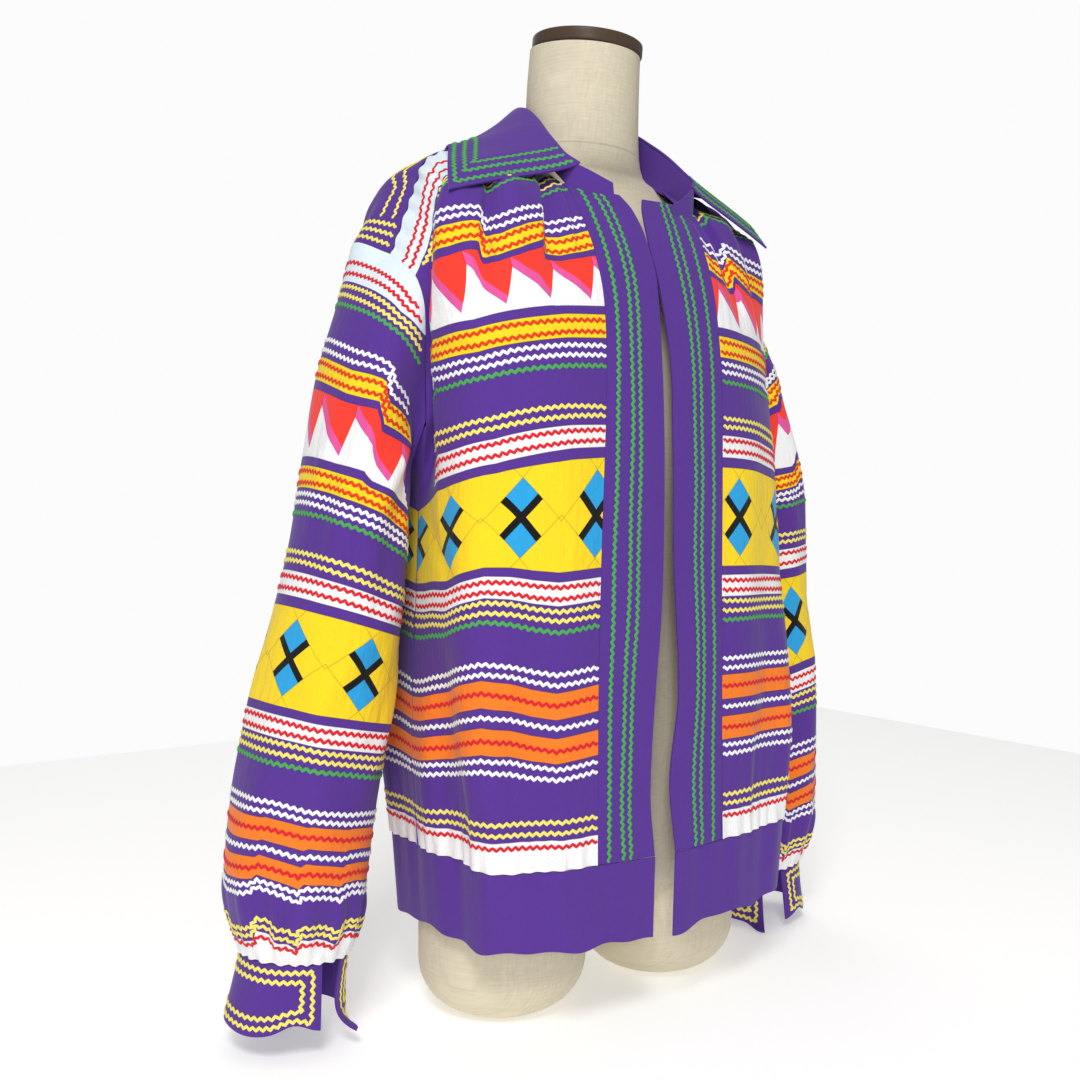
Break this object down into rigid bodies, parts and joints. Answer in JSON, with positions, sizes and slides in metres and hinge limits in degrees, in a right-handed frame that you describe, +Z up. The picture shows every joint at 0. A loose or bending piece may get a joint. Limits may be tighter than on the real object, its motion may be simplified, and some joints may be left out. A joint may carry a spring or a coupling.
{
  "type": "patchwork jacket on a limbless dress form",
  "caption": "Open patchwork jacket with pieced bands, rickrack, a pointed collar, waistband and cuffs, hanging on a limbless dress form",
  "frame": {"origin": "on the floor under the middle of the bounding box", "axes": "+Z up, the front of the jacket faces -Y, the wearer's left is +X"},
  "size_m": [0.6644, 0.259, 0.9137],
  "materials": {
    "back": "pieced strips of yellow, white, orange and purple cotton with rickrack",
    "right_front": "pieced strips of yellow, white, orange and purple cotton with rickrack",
    "left_front": "pieced strips of yellow, white, orange and purple cotton with rickrack",
    "right_sleeve": "pieced strips of yellow, white, orange and purple cotton with rickrack",
    "left_sleeve": "pieced strips of yellow, white, orange and purple cotton with rickrack",
    "right_gusset": "plain purple woven cotton",
    "left_gusset": "plain purple woven cotton",
    "right_placket": "plain purple woven cotton",
    "left_placket": "plain purple woven cotton",
    "waistband": "plain purple woven cotton",
    "right_cuff": "plain purple woven cotton",
    "left_cuff": "plain purple woven cotton",
    "collar": "plain purple woven cotton",
    "neckband": "plain purple woven cotton",
    "dress_form": "linen cover of the dress form",
    "neck_cap": "dark brown cap"
  },
  "bodies": {
    "root": {"back": "back", "right_front": "right_front", "left_front": "left_front", "right_sleeve": "right_sleeve", "left_sleeve": "left_sleeve", "right_gusset": "right_gusset", "left_gusset": "left_gusset", "right_placket": "right_placket", "left_placket": "left_placket", "waistband": "waistband", "right_cuff": "right_cuff", "left_cuff": "left_cuff", "collar": "collar", "neckband": "neckband", "dress_form": "dress_form", "neck_cap": "neck_cap"}
  },
  "joints": []
}
